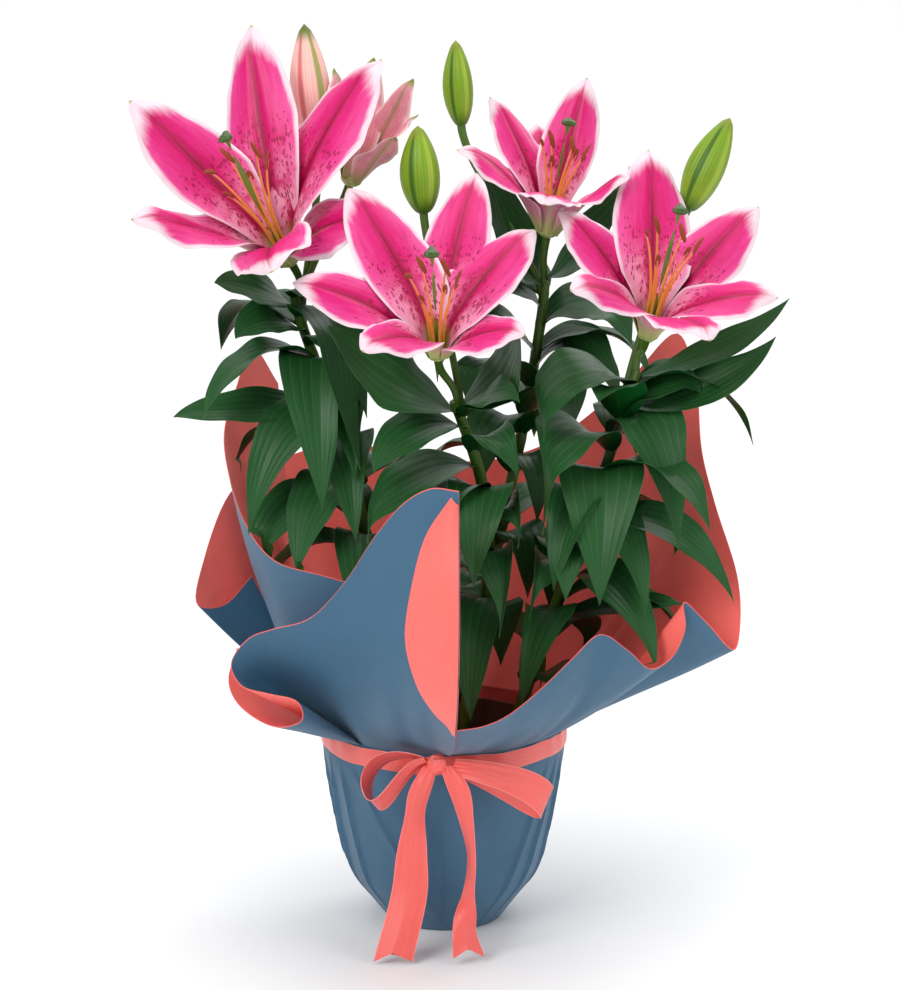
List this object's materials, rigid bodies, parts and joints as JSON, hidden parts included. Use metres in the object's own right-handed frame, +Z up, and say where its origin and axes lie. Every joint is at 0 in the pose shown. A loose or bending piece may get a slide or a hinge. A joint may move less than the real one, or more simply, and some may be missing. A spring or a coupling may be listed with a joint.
{
  "type": "potted lily",
  "caption": "Potted oriental lily with open pink blooms and green buds on leafy stems, in a pot wrapped in blue and coral paper and tied with a ribbon bow.",
  "frame": {"origin": "middle of the flat underside of the wrapped pot, on the surface that it stands on", "axes": "+Z up along the plant's height, -Y towards the viewer of the picture, +X to the viewer's right"},
  "size_m": [0.4465, 0.3705, 0.6315],
  "materials": {
    "leaf": "dark green leaf with a soft shine",
    "petal": "hot pink lily petal, satin",
    "stamen": "orange and green flower parts, matt",
    "blush": "pale pink half-open petals, satin",
    "bud": "fresh green bud, satin",
    "paper": "matt slate-blue florist's paper, coral on its other side",
    "pot": "brown plastic growing pot",
    "soil": "dark peat, rough and matt",
    "bulb": "cream lily bulb, matt",
    "ribbon": "coral satin ribbon"
  },
  "bodies": {
    "root": {"leafy_stem_left": "leaf", "leafy_stem_centre": "leaf", "leafy_stem_right": "leaf", "leafy_stem_back": "leaf", "bloom_left_tepals": "petal", "bloom_left_pistil_and_stamens": "stamen", "bloom_centre_tepals": "petal", "bloom_centre_pistil_and_stamens": "stamen", "bloom_back_tepals": "petal", "bloom_back_pistil_and_stamens": "stamen", "bloom_right_tepals": "petal", "bloom_right_pistil_and_stamens": "stamen", "bloom_opening_tepals": "blush", "bud_tall": "bud", "bud_middle": "bud", "bud_right": "bud", "bud_blush": "blush", "wrap": "paper", "pot": "pot", "soil": "soil", "bulb_left": "bulb", "bulb_centre": "bulb", "bulb_right": "bulb", "bulb_back": "bulb", "ribbon_band": "ribbon", "ribbon_bow": "ribbon"}
  },
  "joints": []
}
